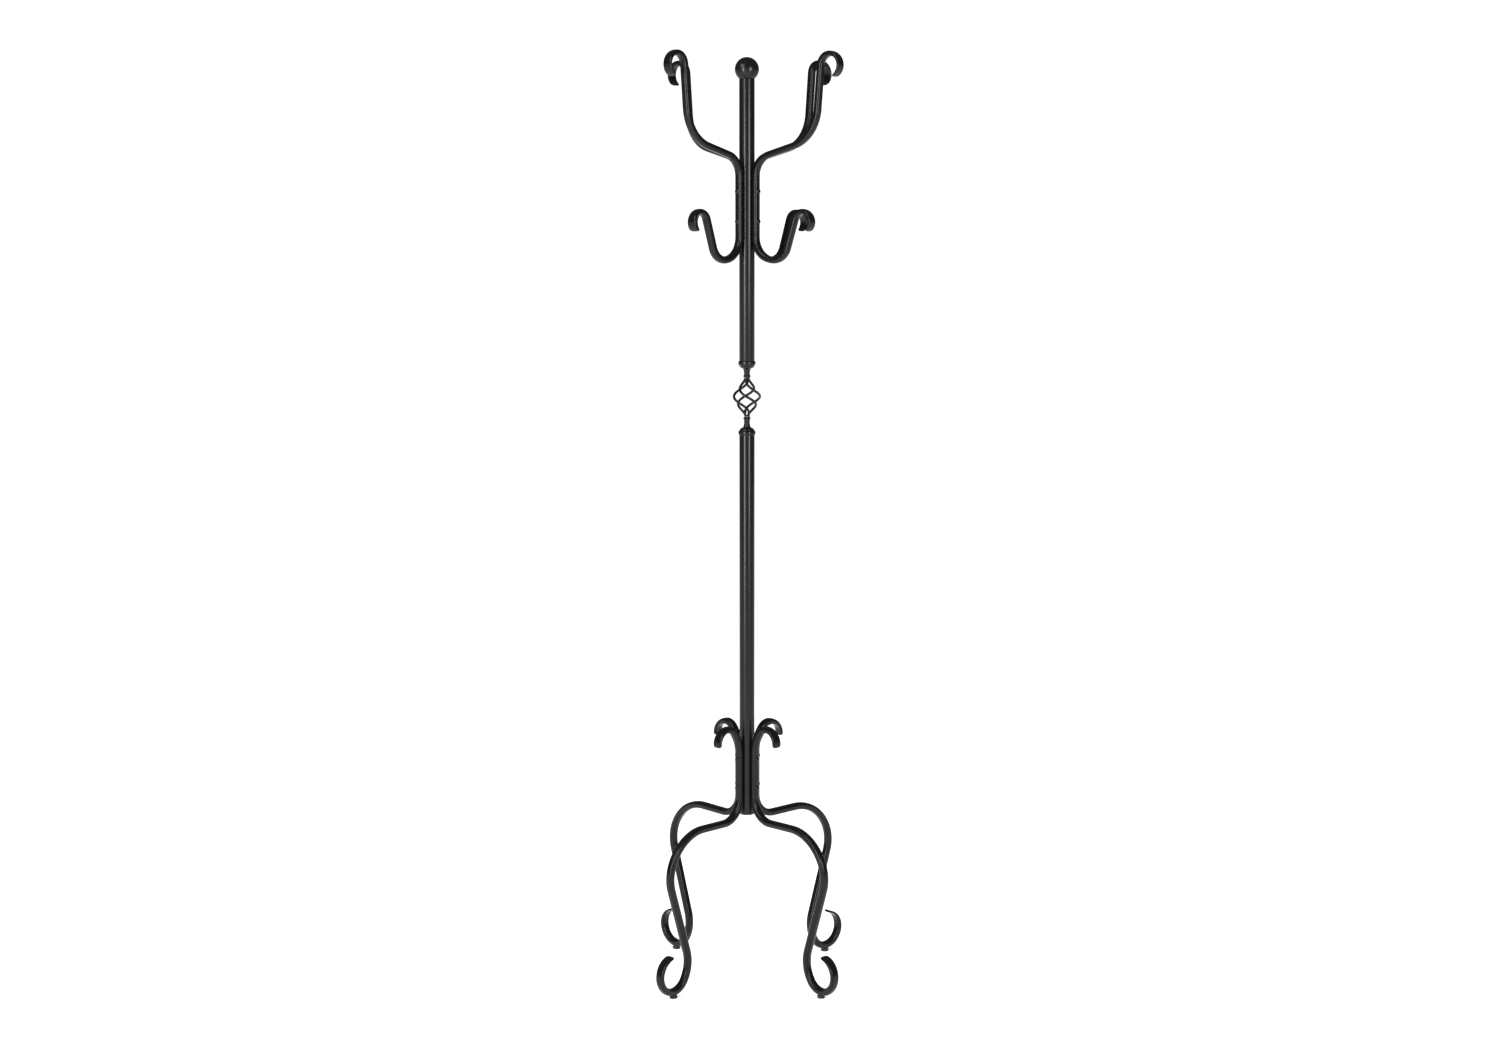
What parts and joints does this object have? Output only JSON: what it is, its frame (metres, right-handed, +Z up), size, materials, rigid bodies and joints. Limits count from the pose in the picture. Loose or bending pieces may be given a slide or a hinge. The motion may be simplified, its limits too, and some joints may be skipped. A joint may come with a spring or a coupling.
{
  "type": "coat stand",
  "caption": "Free-standing black steel coat stand: two-part pole with a twisted basket and ball finial, double hat-and-coat hooks, bent scroll legs on rubber pads.",
  "frame": {"origin": "on the floor, on the pole axis", "axes": "+Z up along the pole; the four legs and the four double hooks lie in the +X, +Y, -X and -Y half-planes"},
  "size_m": [0.5123, 0.5118, 1.8293],
  "materials": {
    "black_coat": "semi-gloss black powder coat on steel",
    "basket_coat": "black powder coat over forged and welded steel, a little duller",
    "screw_coat": "black coated steel screws",
    "zinc": "zinc-plated steel, inside the tubes",
    "end_plug": "black moulded plastic",
    "pad_rubber": "matte black rubber"
  },
  "bodies": {
    "root": {"lower_tube": "black_coat", "upper_tube": "black_coat", "tube_end_plug": "end_plug", "lower_insert": "zinc", "upper_insert": "zinc", "finial_insert": "zinc", "ball_finial": "black_coat", "lower_ferrule": "black_coat", "upper_ferrule": "black_coat", "lower_hub": "basket_coat", "upper_hub": "basket_coat", "basket_rod_right": "basket_coat", "basket_rod_back": "basket_coat", "basket_rod_left": "basket_coat", "basket_rod_front": "basket_coat", "hook_bar_right": "black_coat", "hook_bar_back": "black_coat", "hook_bar_left": "black_coat", "hook_bar_front": "black_coat", "hook_screw_top_right": "screw_coat", "hook_screw_top_back": "screw_coat", "hook_screw_top_left": "screw_coat", "hook_screw_top_front": "screw_coat", "hook_nut_top_right": "zinc", "hook_nut_top_back": "zinc", "hook_nut_top_left": "zinc", "hook_nut_top_front": "zinc", "hook_screw_bottom_right": "screw_coat", "hook_screw_bottom_back": "screw_coat", "hook_screw_bottom_left": "screw_coat", "hook_screw_bottom_front": "screw_coat", "hook_nut_bottom_right": "zinc", "hook_nut_bottom_back": "zinc", "hook_nut_bottom_left": "zinc", "hook_nut_bottom_front": "zinc", "leg_bar_right": "black_coat", "leg_bar_back": "black_coat", "leg_bar_left": "black_coat", "leg_bar_front": "black_coat", "foot_pad_right": "pad_rubber", "foot_pad_back": "pad_rubber", "foot_pad_left": "pad_rubber", "foot_pad_front": "pad_rubber", "leg_screw_top_right": "screw_coat", "leg_screw_top_back": "screw_coat", "leg_screw_top_left": "screw_coat", "leg_screw_top_front": "screw_coat", "leg_nut_top_right": "zinc", "leg_nut_top_back": "zinc", "leg_nut_top_left": "zinc", "leg_nut_top_front": "zinc", "leg_screw_bottom_right": "screw_coat", "leg_screw_bottom_back": "screw_coat", "leg_screw_bottom_left": "screw_coat", "leg_screw_bottom_front": "screw_coat", "leg_nut_bottom_right": "zinc", "leg_nut_bottom_back": "zinc", "leg_nut_bottom_left": "zinc", "leg_nut_bottom_front": "zinc"}
  },
  "joints": []
}
